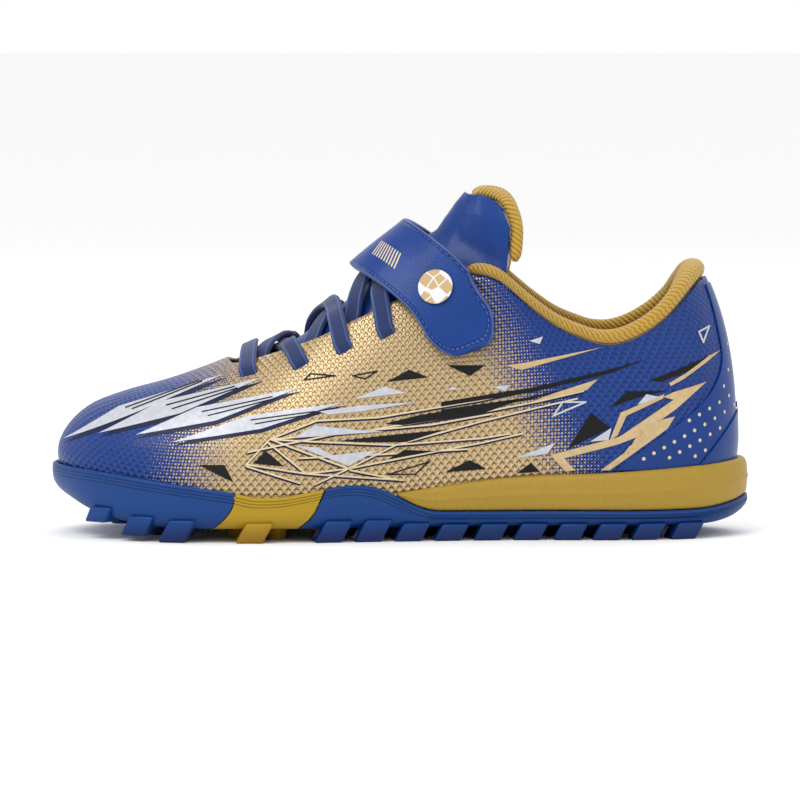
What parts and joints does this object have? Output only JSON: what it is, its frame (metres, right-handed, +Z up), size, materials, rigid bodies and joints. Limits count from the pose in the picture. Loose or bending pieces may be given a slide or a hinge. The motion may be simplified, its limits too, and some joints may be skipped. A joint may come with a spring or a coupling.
{
  "type": "turf soccer shoe",
  "caption": "Child's left turf soccer shoe with moulded rubber sole, embossed upper, elastic lace, padded collar and a hook-and-loop strap that opens over the instep.",
  "frame": {"origin": "on the ground plane under the middle of the shoe's bounding box", "axes": "+X from toe to heel, -Y to the lateral (outer) side of this left shoe, +Z up"},
  "size_m": [0.2314, 0.0838, 0.1155],
  "materials": {
    "outsole_blue": "satin moulded rubber",
    "outsole_gold": "satin moulded rubber",
    "midsole_foam": "painted moulded foam",
    "board_felt": "felt",
    "gold_textile": "brushed knit",
    "upper_leather": "embossed and printed synthetic leather",
    "stiffener": "matt",
    "smooth_leather": "smooth synthetic leather",
    "soft_foam": "open foam",
    "lace_knit": "flat elastic knit",
    "fastener_tape": "hook and loop pile",
    "badge_film": "satin printed film"
  },
  "bodies": {
    "root": {"outsole_toe": "outsole_blue", "outsole_band": "outsole_gold", "outsole_rear": "outsole_blue", "midsole": "midsole_foam", "strobel_board": "board_felt", "sock_liner": "gold_textile", "upper": "upper_leather", "toe_puff": "stiffener", "heel_counter": "stiffener", "inner_lining": "gold_textile", "heel_overlay": "smooth_leather", "heel_cap": "smooth_leather", "collar_foam": "soft_foam", "collar_lining": "gold_textile", "collar_roll": "gold_textile", "tongue_face": "smooth_leather", "tongue_foam": "soft_foam", "tongue_lining": "gold_textile", "elastic_lace": "lace_knit", "strap_anchor": "smooth_leather", "loop_patch": "fastener_tape"},
    "tongue_top": {"tongue_top_face": "smooth_leather", "tongue_top_foam": "soft_foam", "tongue_top_lining": "gold_textile", "tongue_binding": "gold_textile"},
    "strap_flap": {"strap_flap": "smooth_leather"},
    "strap_tip": {"strap_tip": "smooth_leather", "hook_patch": "fastener_tape", "strap_badge": "badge_film"}
  },
  "joints": [
    {"name": "tongue_fold", "type": "hinge", "parent": "root", "child": "tongue_top", "pos_m": [0.01166, 0, 0.10126], "axis": [0, 1, 0], "range_deg": [-25, 0]},
    {"name": "strap_open", "type": "hinge", "parent": "root", "child": "strap_flap", "pos_m": [0.00839, 0.01896, 0.08609], "axis": [-0.6582, 0.0684, -0.7498], "range_deg": [0, 100]},
    {"name": "strap_peel", "type": "hinge", "parent": "strap_flap", "child": "strap_tip", "pos_m": [0.00111, -0.01672, 0.0922], "axis": [-0.6574, -0.1881, -0.7297], "range_deg": [0, 55]}
  ]
}
